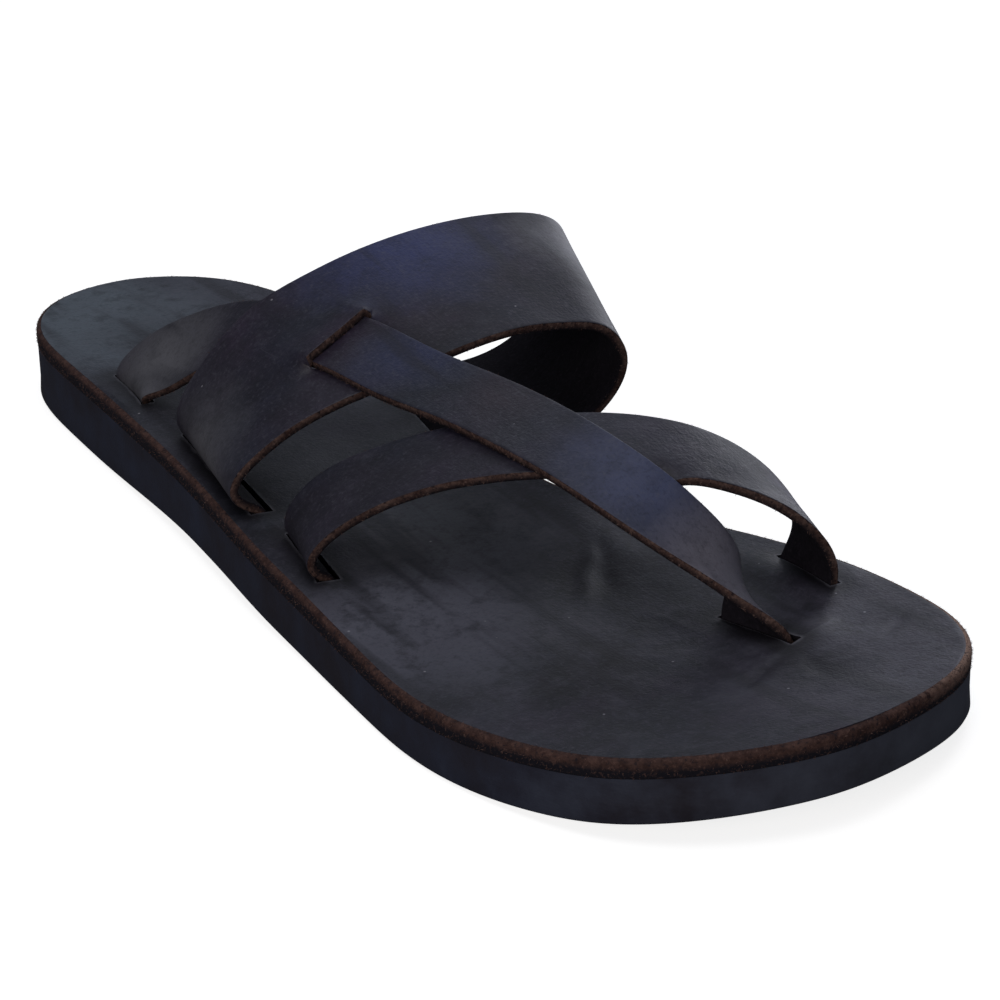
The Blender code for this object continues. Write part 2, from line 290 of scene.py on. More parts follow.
# %% Mesh helpers
def new_piece(name, points, faces, materials, face_materials=None):
    """A mesh object from arrays, with its place in its mesh."""
    mesh = bpy.data.meshes.new(name)
    mesh.from_pydata(np.asarray(points).tolist(), [], faces)
    for material in materials:
        mesh.materials.append(material)
    if face_materials is not None:
        mesh.polygons.foreach_set("material_index", np.asarray(face_materials, np.int32))
    piece = bpy.data.objects.new(name, mesh)
    bpy.context.scene.collection.objects.link(piece)
    return piece


def face_out(piece):
    """Turns every face of a closed mesh outwards."""
    builder = bmesh.new()
    builder.from_mesh(piece.data)
    bmesh.ops.recalc_face_normals(builder, faces=builder.faces)
    builder.to_mesh(piece.data)
    builder.free()


def settle_modifiers(piece, sharp_from=35):
    """Makes a piece and its modifiers one plain mesh, smooth but for edges sharper than this many degrees."""
    graph = bpy.context.evaluated_depsgraph_get()
    mesh = bpy.data.meshes.new_from_object(
        piece.evaluated_get(graph), preserve_all_data_layers=True, depsgraph=graph)
    piece.modifiers.clear()
    piece.data = mesh
    mesh.name = piece.name
    mesh.shade_smooth()
    mesh.set_sharp_from_angle(angle=math.radians(sharp_from))
    print(f"{piece.name}: {sum(len(p.vertices) - 2 for p in mesh.polygons)} triangles")
    return piece


# %% [markdown]
# ## Stains
# Leather gets its look in layers: a dye, then tints and grime laid over it, and here painted highlights and
# painted shade as well. A stain is one such layer:
# it lays a tint over the colour so far, as much as a pattern allows. A stain round one spot lays wear,
# painted highlights and painted shade alike. The pattern's noise is taken off the distance to the spot, so
# that its border is ragged.

# %% Stains, and tints round a spot
SPOT_RAGGED, SPOT_FADES, SPOT_FULL = -1.1, 0.45, -0.35      # shares of the reach of a tint round a spot


def new_material(name):
    """A material, its node tree, its shader and its place on the object, in metres."""
    material = bpy.data.materials.new(name)
    material.use_nodes = True
    tree = material.node_tree
    place = add_node(tree, "ShaderNodeTexCoord").outputs["Object"]
    return material, tree, tree.nodes["Principled BSDF"], place


def stain(tree, colour, tint, pattern, low, high, share=1.0):
    """Lays a tint over a colour, from none of it where the pattern is low to a share where it is high."""
    amount = add_node(tree, "ShaderNodeMapRange", {
        "Value": pattern, "From Min": low, "From Max": high, "To Max": share})
    return add_node(tree, "ShaderNodeMix", {
        0: amount, 6: colour, 7: linear(tint)}, data_type="RGBA").outputs[2]


def ragged_distance(tree, place, spot, reach, noise_value):
    """The distance from a spot given in the tables' measures, roughened in keeping with a reach in mm."""
    away = add_node(tree, "ShaderNodeVectorMath", {
        0: place, 1: tuple(in_frame(*spot))}, operation="DISTANCE").outputs["Value"]
    ragged = SPOT_RAGGED * reach * MM
    return add_node(tree, "ShaderNodeMath", {0: noise_value, 1: ragged, 2: away}, operation="MULTIPLY_ADD")


def tint_round_spot(tree, colour, tint, place, spot, reach, noise_value):
    """A stain round a spot, fading out at about its reach, mm."""
    away = ragged_distance(tree, place, spot, reach, noise_value)
    return stain(tree, colour, tint, away, SPOT_FADES * reach * MM, SPOT_FULL * reach * MM)


print("where a rub is gone, in shares of its reach:", round(SPOT_FADES - SPOT_RAGGED / 2, 2))

# %% [markdown]
# ## Grain leather
# Vegetable-tanned leather, dyed blue-black and waxed by hand. The grain side is a closed skin with a low
# sheen. The dye takes unevenly: soft clouds of blue, violet and grey-green, two or three centimetres across,
# over a body so dark that most of what the eye gets is the sheen. Handling leaves hairline scuffs and strokes
# of wax, and a few specks of dust settle on it. Round the slots a dark halo is painted, partly grime and
# partly painted shade, and a pale rim, partly leather pressed pale and partly a painted highlight on the
# raised lip.

# %% Dye and sheen of the grain
def lying_noise(tree, place, turn, sizes):
    """Noise drawn out along a direction, turned about the vertical: sizes are its features' lengths, mm."""
    lie = add_node(tree, "ShaderNodeMapping", {
        "Vector": place, "Rotation": (0.0, 0.0, math.radians(turn)),
        "Scale": tuple(per(size) for size in sizes)})
    return add_node(tree, "ShaderNodeTexNoise", {"Vector": lie, "Scale": 1.0, "Detail": 3.0})


def grain_leather(name, body, cloud, casts, spot_tints, cloud_mm, roughness, level, mottling,
                  scuff_turn, stroke_turn, by_slot=False):
    """Dyed, waxed grain. body and cloud are the dye's two tones, casts its tints, each with a seed and a
    share, and the tints round spots, each with a spot and a reach, lay bluer dye, painted highlights and
    sheen, and painted shade. cloud_mm is how large the clouds are, level how strong the sheen is, mottling
    how uneven the dye, and the turns are how scuffs and strokes of wax lie."""
    material, tree, shader, place = new_material(name)
    clouds, mottle, speck, wax = (
        add_node(tree, "ShaderNodeTexNoise", {
            "Vector": place, "Scale": per(size), "Detail": detail, "Roughness": rough, "Distortion": twist})
        for size, detail, rough, twist in (
            (cloud_mm, 5.0, 0.6, 0.4), (5.0, 8.0, 0.72, 0.0), (0.9, 3.0, 0.7, 0.0),
            (cloud_mm * 0.6, 6.0, 0.65, 0.0)))
    scuffs, cross_scuffs, strokes = (
        lying_noise(tree, place, turn, sizes) for turn, sizes in (
            (scuff_turn, (0.4, 11.0, 3.0)), (scuff_turn + 62, (0.4, 6.0, 3.0)),
            (stroke_turn, (6.0, 55.0, 20.0))))

    dye = stain(tree, linear(body), cloud, clouds, 0.36, 0.66)
    for tint, seed, share in casts:
        cast = add_node(tree, "ShaderNodeTexNoise", {
            "Vector": place, "Scale": per(cloud_mm * 0.9), "Detail": 4.0, "Roughness": 0.6, "W": seed},
            noise_dimensions="4D")
        dye = stain(tree, dye, tint, cast, 0.47, 0.64, share)
    # patches round given spots: bluer dye, painted highlights and sheen, and painted shade, as the tables
    # below list
    for tint, spot, reach in spot_tints:
        dye = tint_round_spot(tree, dye, tint, place, spot, reach, clouds)
    for tint, pattern, low, high, share in (
            # dye taken unevenly, then grain that holds more or less of it
            ("#0d0d12", mottle, 0.5, 0.36, mottling), ("#4a4b55", mottle, 0.53, 0.7, mottling),
            ("#0d0d12", speck, 0.48, 0.3, 0.35), ("#54545e", speck, 0.54, 0.74, 0.45),
            # hairline scuffs, then strokes of dark wax
            ("#505159", scuffs, 0.68, 0.8, 0.5), ("#505159", cross_scuffs, 0.68, 0.8, 0.5),
            (body, strokes, 0.52, 0.66, 0.6)):
        dye = stain(tree, dye, tint, pattern, low, high, share)
    if by_slot:
        away = add_node(tree, "ShaderNodeAttribute", attribute_name="from_slot").outputs["Fac"]
        for tint, pattern, ragged, low, high, share in (
                # grime with painted shade within some millimetres of a slot, then the pale rim, partly a
                # painted highlight on the raised lip
                ("#0c0b10", clouds, -5.0, 2.5, -1.5, 0.75), ("#6d6d76", mottle, 1.6, 1.5, 0.9, 0.45)):
            rim = add_node(tree, "ShaderNodeMath", {0: pattern, 1: ragged, 2: away}, operation="MULTIPLY_ADD")
            dye = stain(tree, dye, tint, rim, low, high, share)
    dust = add_node(tree, "ShaderNodeTexVoronoi", {"Vector": place, "Scale": per(9.0)})
    gloss = add_node(tree, "ShaderNodeMapRange", {
        "Value": wax, "From Min": 0.3, "From Max": 0.7,
        "To Min": roughness - 0.07, "To Max": roughness + 0.09})
    fill(tree, shader, {
        "Base Color": stain(tree, dye, "#a5a3ac", dust, 0.034, 0.018, 0.7), "Roughness": gloss,
        "Specular IOR Level": level, "Normal": grain_relief(tree, place, clouds, mottle, speck, scuffs)})
    return material


# %% [markdown]
# The grain's relief is pores, wrinkles of a few millimetres, the scuffs, and a net of cracks where the skin
# has been bent often. Real pores are a tenth or two of a millimetre wide, too fine to show, so they are drawn
# coarser, at 0.7 mm. The relief is a bump, because nothing in it stands up by a tenth of a millimetre.

# %% Relief of the grain
def grain_relief(tree, place, clouds, mottle, speck, scuffs):
    """The bumped normal of the grain side."""
    height = add_node(tree, "ShaderNodeTexNoise", {
        "Vector": place, "Scale": per(4.0), "Detail": 7.0, "Roughness": 0.6})
    pores = add_node(tree, "ShaderNodeTexVoronoi", {"Vector": place, "Scale": per(0.7)})
    for part, share in ((pores, 0.25), (scuffs, 0.3), (mottle, 0.8), (speck, 0.5)):
        height = add_node(tree, "ShaderNodeMath", {0: part, 1: share, 2: height}, operation="MULTIPLY_ADD")
    bent = add_node(tree, "ShaderNodeMixRGB", {0: 0.0012, 1: place, 2: clouds}, blend_type="ADD")
    cells = add_node(tree, "ShaderNodeTexVoronoi", {
        "Vector": bent, "Scale": per(2.2)}, feature="DISTANCE_TO_EDGE")
    flats, depth = (
        add_node(tree, "ShaderNodeMapRange", {
            "Value": value, "From Min": low, "From Max": high, "To Min": start, "To Max": end})
        for value, low, high, start, end in ((cells, 0.0, 0.12, 0.0, 1.0), (clouds, 0.4, 0.62, 0.02, 0.13)))
    height = add_node(tree, "ShaderNodeMath", {0: flats, 1: depth, 2: height}, operation="MULTIPLY_ADD")
    return add_node(tree, "ShaderNodeBump", {"Height": height, "Strength": 0.2, "Distance": 0.6 * MM})


# %% [markdown]
# Three hides: bridle leather for the band and the ball strap, a bluer one for the toe strap, and thicker,
# more matt sole leather for the footbed. The tints round spots are mostly painted light: painted highlights
# and sheen on the bends, the heel and the forefoot, painted shade beside the band, under the straps and in
# front of the toe slot, and bluer dye with painted sheen on the straps' tops; a few are plain tone patches of
# the dye.

# %% The three grain leathers
STRAP_CASTS = (("#32283b", 5.1, 0.7), ("#202636", 8.7, 0.5))
BRIDLE = dict(cloud_mm=30, roughness=0.47, level=0.38, mottling=0.26, scuff_turn=25, stroke_turn=78)

# band and ball strap: bluer dye with painted sheen on the band's crown, painted sheen low on the band's outer
# side, a painted highlight on the ball strap's inner bend, and a painted highlight along the band's inner
# bend
strap_grain = grain_leather("waxed_bridle_leather", "#1d1b25", "#2c2835", STRAP_CASTS, (
    ("#323966", (15, 114, 48), 27), ("#58585e", (-36, 122, 16), 22), ("#8a8498", (43, 213, 20), 15),
    ("#8c8c94", (54, 124, 40), 23)), **BRIDLE)
# toe strap: bluer dye with painted sheen near its front, a bluer patch further back on its top, painted light
# on its rear outer end, a paler patch on its bend down to the toe slot, and a violet patch
toe_strap_grain = grain_leather("waxed_bridle_leather_toe_strap", "#1c1b24", "#2a2834", STRAP_CASTS, (
    ("#454b69", (7, 212, 37), 20), ("#2b3152", (-1, 148, 42), 16), ("#5c5c62", (-23, 78, 20), 22),
    ("#6a6772", (14, 230, 22), 20), ("#2e2630", (1, 174, 44), 11)), **BRIDLE)
# footbed: a painted reflection on the heel, painted sheen on the inner forefoot, a painted highlight on the
# outer forefoot, a paler patch mid-foot, painted shade along the outer margin beside the band, a painted
# shadow under the straps, and painted shade in front of the toe slot
footbed_grain = grain_leather("vegetable_tanned_sole_leather", "#1c1b22", "#2d2c38", (
    ("#242d38", 2.2, 0.45), ("#302739", 6.4, 0.7)), (
    ("#59636d", (-14, 12, 16), 54), ("#42404c", (28, 252, 14), 36), ("#5f606d", (-26, 190, 13), 44),
    ("#53565f", (-8, 160, 13), 26), ("#1b1826", (-45, 120, 14), 26), ("#1b1826", (-46, 160, 13), 24),
    ("#131118", (4, 196, 13), 20), ("#1a1822", (14, 252, 13), 12)),
    cloud_mm=34, roughness=0.53, level=0.4, mottling=0.5, scuff_turn=-35, stroke_turn=-30, by_slot=True)
print("grain leathers:", strap_grain.name, toe_strap_grain.name, footbed_grain.name)

# %% [markdown]
# ## Cut edge and flesh side
# The cut edge is where the knife went through. The dye has sunk in from the grain side by a fraction of a
# millimetre and from the flesh side by more, and between them the fibre stays brown, flecked and matt.
# Each mesh carries how deep a point lies below the grain side, and the colour follows that depth, moved up
# and down by a noise, so that the border is ragged as real dye leaves it. On the sole's edge the brown is
# widest at the toe, where wear has taken the dye off. The flesh side is the loose underside of the hide,
# like a dull suede, and takes nearly all the dye.

# %% Cut and split leather
TOE_TIP, TOE_REACH = (12, 262, 14), 95      # the worn end of the sole: a spot, and its reach, mm


def fibre_leather(name, dyed, fibre, fleck, roughness, brown_mm=None, skin_mm=0.2, worn=None):
    """Cut or split leather. The brown fades out brown_mm below the grain, and the grain's dye skin_mm below
    it; worn is the sole's paler tint at the toe, its spot and its reach."""
    material, tree, shader, place = new_material(name)
    rough = add_node(tree, "ShaderNodeTexNoise", {
        "Vector": place, "Scale": per(2.4), "Detail": 6.0, "Roughness": 0.75})
    fine = add_node(tree, "ShaderNodeTexNoise", {
        "Vector": place, "Scale": per(0.55), "Detail": 2.0, "W": 3.0}, noise_dimensions="4D")
    if brown_mm is None:
        colour = stain(tree, linear(dyed), fibre, rough, 0.35, 0.65)
    else:
        deep = add_node(tree, "ShaderNodeAttribute", attribute_name="below_grain").outputs["Fac"]
        dyed_at = deep
        colour = stain(tree, linear(fibre), fleck, rough, 0.38, 0.72, 0.8)
        if worn:
            tint, spot, reach = worn
            colour = tint_round_spot(tree, colour, tint, place, spot, reach, rough)
            narrower = add_node(tree, "ShaderNodeMapRange", {
                "Value": ragged_distance(tree, place, TOE_TIP, TOE_REACH, rough),
                "From Min": SPOT_FULL * TOE_REACH * MM, "From Max": SPOT_FADES * TOE_REACH * MM,
                "To Max": 1.2})
            dyed_at = add_node(tree, "ShaderNodeMath", {0: deep, 1: narrower}, operation="ADD")
        ragged = add_node(tree, "ShaderNodeMath", {0: rough, 1: 1.6, 2: dyed_at}, operation="MULTIPLY_ADD")
        colour = stain(tree, colour, dyed, ragged, brown_mm + 0.35, brown_mm + 1.4)
        thin = add_node(tree, "ShaderNodeMath", {0: fine, 1: 0.5, 2: deep}, operation="MULTIPLY_ADD")
        colour = stain(tree, colour, dyed, thin, skin_mm + 0.3, skin_mm)
    colour = stain(tree, colour, dyed, fine, 0.46, 0.28, 0.9)
    colour = stain(tree, colour, fleck, fine, 0.56, 0.72, 0.6)
    fill(tree, shader, {
        "Base Color": colour, "Roughness": roughness, "Specular IOR Level": 0.15,
        "Normal": add_node(tree, "ShaderNodeBump", {"Height": fine, "Strength": 0.6, "Distance": 0.2 * MM})})
    return material


strap_edge = fibre_leather("raw_cut_bridle_leather", "#18151b", "#3d2b28", "#78625b", 0.85, brown_mm=1.0)
sole_edge = fibre_leather("sanded_sole_leather_edge", "#1c1b23", "#362624", "#624a44", 0.8,
                          brown_mm=2.1, skin_mm=0.0, worn=("#a78a7c", (44, 258, 14), 32))
flesh_side = fibre_leather("dyed_flesh_side", "#16141a", "#201d25", "#2e2a31", 0.9)
loose_fibre = fibre_leather("loose_leather_fibre", "#4a3733", "#6c544e", "#9a847c", 0.9)
print("cut leathers:", strap_edge.name, sole_edge.name, flesh_side.name, loose_fibre.name)

# %% [markdown]
# ## The rubber
# Sheet rubber, cut with the leather on it and sanded at the edge: dense, nearly black with a blue cast, matt,
# with the faint drag of the sanding belt along it, a little pale dust in the grit, and greyer towards the
# toe.

# %% Sheet rubber
rubber, tree, shader, place = new_material("sanded_sheet_rubber")
mottle, grit = (
    add_node(tree, "ShaderNodeTexNoise", {
        "Vector": place, "Scale": per(size), "Detail": detail, "Roughness": rough})
    for size, detail, rough in ((14, 5.0, 0.6), (0.8, 4.0, 0.7)))
colour = stain(tree, linear("#25232d"), "#2c3143", mottle, 0.35, 0.65)
# greyer towards the inner side of the toe
colour = tint_round_spot(tree, colour, "#4f535f", place, (52, 264, -4), 95, mottle)
colour = stain(tree, colour, "#3a3d46", grit, 0.62, 0.76, 0.4)
belt = lying_noise(tree, place, 0.0, (6.0, 6.0, 0.5))
height = add_node(tree, "ShaderNodeMath", {0: belt, 1: 0.5, 2: grit}, operation="MULTIPLY_ADD")
fill(tree, shader, {
    "Base Color": colour, "Roughness": 0.7, "Specular IOR Level": 0.3,
    "Normal": add_node(tree, "ShaderNodeBump", {"Height": height, "Strength": 0.3, "Distance": 0.3 * MM})})
print("rubber:", rubber.name)

# %% [markdown]
# ## Straps as ribbons
# Each strap is worked out as the sheet through the middle of its thickness: even steps along it, even shares
# of its width across. Later the sheet gets its thickness, because leather is one even thickness throughout.

# %% Lay a strap
STRAP_STEP = 0.7       # mm between two points of a strap's sheet


def strap_curve(rows):
    """The strap's length, and a function that gives a row's six values at any place along it."""
    steps = np.linalg.norm(np.diff(np.array(rows)[:, :3], axis=0), axis=1)
    knots = np.concatenate(([0.0], np.cumsum(steps)))
    return knots[-1], smooth_curve(knots, rows)


def lay_strap(rows, along, shares):
    """Points of the middle sheet, one row per place along; shares run from -1 in front to 1 behind."""
    values = strap_curve(rows)[1](along)
    turn, tilt = np.radians(values[:, 3]), np.radians(values[:, 4])
    rearward = np.stack((np.sin(turn) * np.cos(tilt), np.cos(turn) * np.cos(tilt), np.sin(tilt)), axis=1)
    middle = in_frame(values[:, 0], values[:, 1], values[:, 2])
    half = values[:, 5] / 2 * MM
    return middle[:, None] + rearward[:, None] * (half[:, None] * shares)[..., None]


def outward_of(points):
    """The unit normal of a sheet at each point, away from the foot."""
    normal = np.cross(np.gradient(points, axis=0), np.gradient(points, axis=1))
    return normal / np.linalg.norm(normal, axis=-1, keepdims=True)


def even_steps(rows):
    """Places along a strap, STRAP_STEP apart."""
    length = strap_curve(rows)[0]
    return np.linspace(0, length, round(length / STRAP_STEP) + 1)


def even_shares(width, along):
    """Shares of the width, about STRAP_STEP apart, for every place along a strap."""
    return np.tile(np.linspace(-1, 1, round(width / STRAP_STEP) + 1), (len(along), 1))


ball_along, toe_along, band_along = map(even_steps, (BALL_STRAP, TOE_STRAP, INSTEP_BAND))
ball_points = lay_strap(BALL_STRAP, ball_along, even_shares(BALL_WIDTH, ball_along))
toe_points = lay_strap(TOE_STRAP, toe_along, even_shares(TOE_WIDTH, toe_along))
print("strap lengths, mm:", round(toe_along[-1]), round(ball_along[-1]), round(band_along[-1]))

# %% [markdown]
# ## The slit in the instep band
# The toe strap comes up through a slit punched in the band, behind which it lies under the band and in front
# of which it lies on it. A row of the band's sheet is led along the slit, and doubled there: one copy is the
# rear lip, the other the front lip. Outside the slit the two copies are tied to one point.

# %% Lay the band with its slit
SLIT = ((52.6, -7.1), (68.5, -0.3))       # along the band, and back from its middle: the slit's two ends, mm
SLIT_ROW, BAND_CELLS = 26, 60             # the row led along the slit, and the cells across the band

slit_line = np.interp(band_along, *zip(*SLIT)) / (BAND_WIDTH / 2)
front_shares = -1 + (slit_line[:, None] + 1) * np.linspace(0, 1, SLIT_ROW + 1)
rear_shares = slit_line[:, None] + (1 - slit_line[:, None]) * np.linspace(0, 1, BAND_CELLS - SLIT_ROW + 1)
band_points = lay_strap(INSTEP_BAND, band_along, np.concatenate((front_shares, rear_shares), axis=1))
band_tied = (band_along <= SLIT[0][0]) | (band_along >= SLIT[1][0])
print("places along the slit:", int((~band_tied).sum()))

# %% [markdown]
# ## Leather under leather
# Where two straps cross, the lower one gives way and the lip over it lifts. A cloth solver would do, but the
# push is small and its direction known, so it is solved here: every point gets a floor or a ceiling from
# the strap it meets, and the push is smoothed again and again between those limits, like a taut skin.

# %% Find what meets what
CLEAR = (STRAP_THICK + 0.08) * MM       # between the middles of two straps that touch
BESIDE, REACH = 0.3 * MM, 5 * MM        # how far aside and above or below another strap still counts
SEARCH = 12 * MM


def sheet_tree(points):
    """A search tree over a sheet's faces."""
    n, m = points.shape[:2]
    ids = np.arange(n * m).reshape(n, m)
    quads = np.stack((ids[:-1, :-1], ids[1:, :-1], ids[1:, 1:], ids[:-1, 1:]), axis=-1).reshape(-1, 4)
    return BVHTree.FromPolygons(points.reshape(-1, 3).tolist(), quads.tolist())


def height_over(tree, points):
    """Each point's height over the sheet in the tree, and whether it lies straight over or under it."""
    height, meets = np.full(points.shape[:2], np.nan), np.zeros(points.shape[:2], bool)
    for place in np.ndindex(points.shape[:2]):
        spot, normal, *_ = tree.find_nearest(Vector(points[place]), SEARCH)
        if spot is not None:
            offset = Vector(points[place]) - spot
            height[place] = offset.dot(normal)
            beside = (offset - normal * height[place]).length
            meets[place] = beside < BESIDE and abs(height[place]) < REACH
    return height, meets


toe_tree = sheet_tree(toe_points)
ball_height, ball_meets = height_over(toe_tree, ball_points)
band_height, band_meets = height_over(toe_tree, band_points)
print("points under or over the toe strap:", int(ball_meets.sum()), "and", int(band_meets.sum()))

# %% [markdown]
# The push at each point may be anything between its floor and its ceiling, and FREE is more than it ever
# needs. The toe strap keeps its place, because it is drawn tight, and the ball strap passes under it.

# %% Push the ball strap clear
FREE = 1.0
PASSES, SPRING = 160, 0.985      # rounds of smoothing, and how much of the push each round keeps


def blur(push):
    """Each value becomes the mean of its four neighbours."""
    edged = np.pad(push, 1, mode="edge")
    return (edged[2:, 1:-1] + edged[:-2, 1:-1] + edged[1:-1, 2:] + edged[1:-1, :-2]) / 4


def relax(floor, ceiling, tied=None, row=None):
    """The smooth push between floor and ceiling. The sheet is split after row, but for the tied places."""
    push = np.zeros_like(floor)
    for _ in range(PASSES):
        if tied is None:
            push = blur(push)
        else:
            joined = blur(np.delete(push, row + 1, axis=1))[:, row]
            push = np.concatenate((blur(push[:, :row + 1]), blur(push[:, row + 1:])), axis=1)
            push[tied, row] = push[tied, row + 1] = joined[tied]
        push = np.clip(push * SPRING, floor, ceiling)
    return push


ball_push = relax(np.full(ball_height.shape, -FREE), np.where(ball_meets, -CLEAR - ball_height, FREE))
ball_points = ball_points + outward_of(ball_points) * ball_push[..., None]
print(f"the ball strap gives way by up to {-ball_push.min() / MM:.2f} mm")

# %% [markdown]
# The band meets the toe strap twice: behind the slit it lies over it, and in front of the slit under it.

# %% Push the band clear
CROSSING = (30, 110)      # the part of the band that can meet the toe strap, mm along it

band_meets &= ((band_along > CROSSING[0]) & (band_along < CROSSING[1]))[:, None]
behind = np.arange(band_points.shape[1]) > SLIT_ROW
floor = np.where(band_meets & behind, CLEAR - band_height, -FREE)
ceiling = np.where(band_meets & ~behind, -CLEAR - band_height, FREE)
floor[band_tied, SLIT_ROW:SLIT_ROW + 2] = -FREE
ceiling[band_tied, SLIT_ROW:SLIT_ROW + 2] = FREE
band_push = relax(floor, ceiling, band_tied, SLIT_ROW)
band_out = outward_of(np.delete(band_points, SLIT_ROW + 1, axis=1))
band_out = np.insert(band_out, SLIT_ROW + 1, band_out[:, SLIT_ROW], axis=1)
band_points = band_points + band_out * band_push[..., None]
print(f"the rear lip lifts {band_push.max() / MM:.2f} mm, the front lip sinks {-band_push.min() / MM:.2f} mm")

# %% [markdown]
# ## From sheet to strap
# A strap's face is never dead flat: it keeps soft waves from the hide. They are moved into the sheet, a
# twentieth of a millimetre or so, and then Solidify gives the thickness, with the flesh side and the cut
# edge in their own materials, and Bevel eases the corners the way a knife and a rub of wax leave them.
# Every point then keeps its depth below the grain side, which the cut edge's material reads.

# %% Make the straps
FLESH_PLACE, EDGE_PLACE = 1, 2      # of the flesh side and the cut edge, among a strap's materials


def waves(points, size_mm, height_mm, seed):
    """Soft waves as a push along the surface, in metres."""
    shift = Vector((seed, seed * 0.7, -seed))
    flat = points.reshape(-1, 3) / (size_mm * MM)
    return np.array([noise.noise(Vector(p) + shift) for p in flat]).reshape(points.shape[:2]) * height_mm * MM


def corner_places(piece):
    """The places of a piece's points, metres."""
    places = np.zeros(3 * len(piece.data.vertices), np.float32)
    piece.data.vertices.foreach_get("co", places)
    return places.reshape(-1, 3).astype(float)


def keep_number(piece, name, values):
    """Stores a number at each point, for a material to read."""
    layer = piece.data.attributes.new(name, "FLOAT", "POINT")
    layer.data.foreach_set("value", np.asarray(values, np.float32))


def make_strap(name, points, grain, tied=None, row=None):
    """Skins a sheet, split after row but for the tied places, and gives it thickness and eased corners."""
    n, m = points.shape[:2]
    ids = np.arange(n * m).reshape(n, m)
    if row is not None:
        ids[tied, row + 1] = ids[tied, row]
    faces = [(ids[i, j], ids[i + 1, j], ids[i + 1, j + 1], ids[i, j + 1])
             for i in range(n - 1) for j in range(m - 1) if j != row]
    used, compact = np.unique(np.array(faces), return_inverse=True)
    sheet, quads = points.reshape(-1, 3)[used].tolist(), compact.reshape(-1, 4).tolist()
    strap = new_piece(name, sheet, quads, [grain, flesh_side, strap_edge])
    thickness = strap.modifiers.new("thickness", "SOLIDIFY")
    thickness.thickness = STRAP_THICK * MM
    thickness.offset = 0
    thickness.material_offset = FLESH_PLACE
    thickness.material_offset_rim = EDGE_PLACE
    corners = strap.modifiers.new("eased corners", "BEVEL")
    corners.width = 0.22 * MM
    corners.segments = 2
    corners.limit_method = "ANGLE"
    corners.angle_limit = math.radians(50)
    settle_modifiers(strap, 50)
    height = height_over(BVHTree.FromPolygons(sheet, quads), corner_places(strap)[None])[0]
    keep_number(strap, "below_grain", STRAP_THICK / 2 - height[0] / MM)
    return strap


ball_points = ball_points + outward_of(ball_points) * waves(ball_points, 9, 0.1, 3)[..., None]
ball_strap = make_strap("ball_strap", ball_points, strap_grain)
toe_strap = make_strap("toe_strap", toe_points, toe_strap_grain)
band_points = band_points + band_out * waves(band_points, 14, 0.12, 5)[..., None]
instep_band = make_strap("instep_band", band_points, strap_grain, band_tied, SLIT_ROW)

# %% [markdown]
# ## The footbed and its slots
# One layer of sole leather. Leather and rubber are both slabs on the sole's outline: a few rims, one above
# the other, with the edge between them, and a grid across the underside and across the top. The footbed's
# top is a fine grid, so that it can be moulded.

# %% Slabs on the sole's outline
TOP, EDGE, UNDER = 0, 1, 2      # the faces of a slab, by their materials' places


def slab(name, levels, ribs, cells_across, mould, materials):
    """A slab. levels run from below up, each an inset and the rises at its rim; cells_across are those of its
    underside and of its top; mould is an extra rise of the top."""
    angles = math.pi * np.arange(2 * ribs) / ribs
    count = len(angles)
    rims = []
    for inset, rise_at in levels:
        side, heel = rim_points(angles, inset)
        rims.append(np.stack((side, heel, rise_at(heel)), axis=1))
    points, faces, kinds = list(rims), [], []
    for low in range(0, (len(levels) - 1) * count, count):
        for i in range(count):
            j = (i + 1) % count
            faces.append((low + i, low + j, low + count + j, low + count + i))
            kinds.append(EDGE)
    start = len(levels) * count
    for rim_start, rim, rise_at, kind, cells in (
            (0, rims[0], levels[0][1], UNDER, cells_across[0]),
            (start - count, rims[-1], levels[-1][1], TOP, cells_across[1])):
        share = (np.arange(1, cells) / cells)[None, :, None]
        grid = rim[1:ribs, None] * (1 - share) + rim[:ribs:-1, None] * share
        grid[..., 2] = rise_at(grid[..., 1])
        if kind == TOP:
            grid[..., 2] += mould(grid[..., 0], grid[..., 1])
        points.append(grid.reshape(-1, 3))
        ids = np.arange(start, start + grid[..., 0].size).reshape(grid.shape[:2])
        start += ids.size
        inner_ids = rim_start + np.arange(1, ribs)[:, None]
        ids = np.concatenate((inner_ids, ids, 2 * rim_start + count - inner_ids), axis=1)
        for i in range(len(ids) - 1):
            for j in range(cells):
                faces.append((ids[i, j], ids[i + 1, j], ids[i + 1, j + 1], ids[i, j + 1]))
        for tip, row in ((rim_start, ids[0]), (rim_start + ribs, ids[-1])):
            for j in range(cells):
                faces.append((tip, row[j], row[j + 1]))
        kinds += [kind] * (len(faces) - len(kinds))
    points = np.concatenate(points)
    piece = new_piece(name, in_frame(points[:, 0], points[:, 1], points[:, 2]),
                      [tuple(int(v) for v in face) for face in faces], materials, kinds)
    face_out(piece)
    return piece


def lifted(rise_at, lift):
    """The same rises, all higher by lift."""
    return lambda heel: rise_at(heel) + lift


footbed_under = lifted(footbed_top, -FOOTBED_THICK)
print("footbed rim, mm:", footbed_under(0.0).round(1), "to", footbed_top(0.0).round(1))

# %% [markdown]
# Leather takes the shape of what pulls on it. It swells beside the slots, dips where the ball and the heel
# press, and creases where it has been bent. Each swell or hollow is one soft bump in a table, and each crease
# a soft ridge or groove along a line, bent a little by a noise, so that none is ruled straight.

